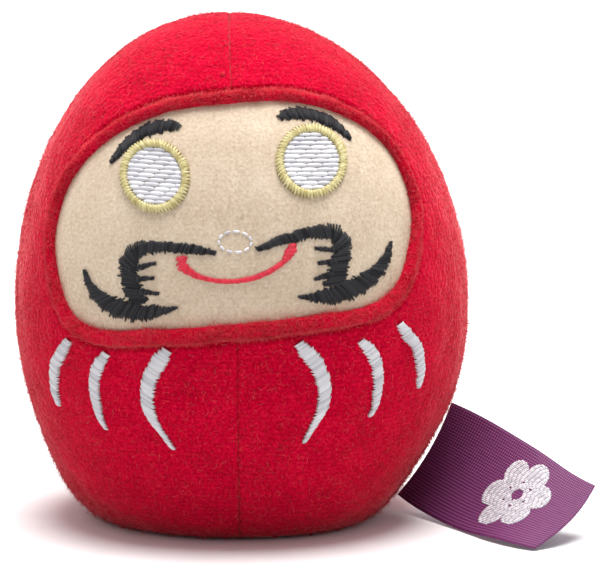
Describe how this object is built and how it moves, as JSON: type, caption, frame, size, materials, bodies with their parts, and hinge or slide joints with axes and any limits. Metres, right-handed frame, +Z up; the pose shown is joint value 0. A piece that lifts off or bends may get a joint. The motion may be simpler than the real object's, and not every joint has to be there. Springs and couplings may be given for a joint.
{
  "type": "soft daruma doll",
  "caption": "Egg-shaped stuffed plush doll with an embroidered bearded face in a rolled rim, robe strokes and a woven side label.",
  "frame": {"origin": "centre of the flat base, on the surface the doll stands on", "axes": "+Z up; the face looks along -Y; +X is the viewer's right, where the label leaves the side seam"},
  "size_m": [0.1086, 0.0872, 0.0964],
  "materials": {
    "plush": "brushed red plush",
    "velour": "short beige velour",
    "white_thread": "satin embroidery thread",
    "gold_thread": "pale gold satin thread",
    "black_thread": "black satin thread",
    "pink_thread": "red-pink satin thread",
    "red_thread": "matt sewing thread",
    "stabiliser": "non-woven backing",
    "fibre": "loose polyester fibre",
    "bag_cloth": "plain woven cotton",
    "pellet": "rounded plastic granules",
    "ribbon": "woven damask ribbon"
  },
  "bodies": {
    "doll": {"back_foot_seam_thread": "red_thread", "back_left_panel": "plush", "back_right_panel": "plush", "back_seam_thread": "red_thread", "base_panel": "plush", "base_seam_thread": "red_thread", "closing_stitches": "red_thread", "face_panel": "velour", "face_rim": "plush", "face_stabiliser": "stabiliser", "front_left_panel": "plush", "front_lower_seam_thread": "red_thread", "front_right_panel": "plush", "front_upper_seam_thread": "red_thread", "left_beard": "black_thread", "left_eye_fill": "white_thread", "left_eye_ring": "gold_thread", "left_eyebrow": "black_thread", "left_moustache": "black_thread", "left_robe_stabiliser": "stabiliser", "left_robe_stroke_1": "white_thread", "left_robe_stroke_2": "white_thread", "left_robe_stroke_3": "white_thread", "left_side_seam_thread": "red_thread", "mouth": "pink_thread", "nose_stitches": "white_thread", "pellet_bag": "bag_cloth", "pellet_fill": "pellet", "right_beard": "black_thread", "right_eye_fill": "white_thread", "right_eye_ring": "gold_thread", "right_eyebrow": "black_thread", "right_moustache": "black_thread", "right_robe_stabiliser": "stabiliser", "right_robe_stroke_1": "white_thread", "right_robe_stroke_2": "white_thread", "right_robe_stroke_3": "white_thread", "right_side_seam_thread": "red_thread", "rim_seam_thread": "red_thread", "stuffing": "fibre"},
    "label": {"woven_label": "ribbon"}
  },
  "joints": [
    {"name": "label_flex", "type": "hinge", "parent": "doll", "child": "label", "pos_m": [0.0353, 0, 0.0121], "axis": [0.4944, 0, 0.8692], "range_deg": [-40, 0], "stiffness_Nm_per_rad": 0.002}
  ]
}
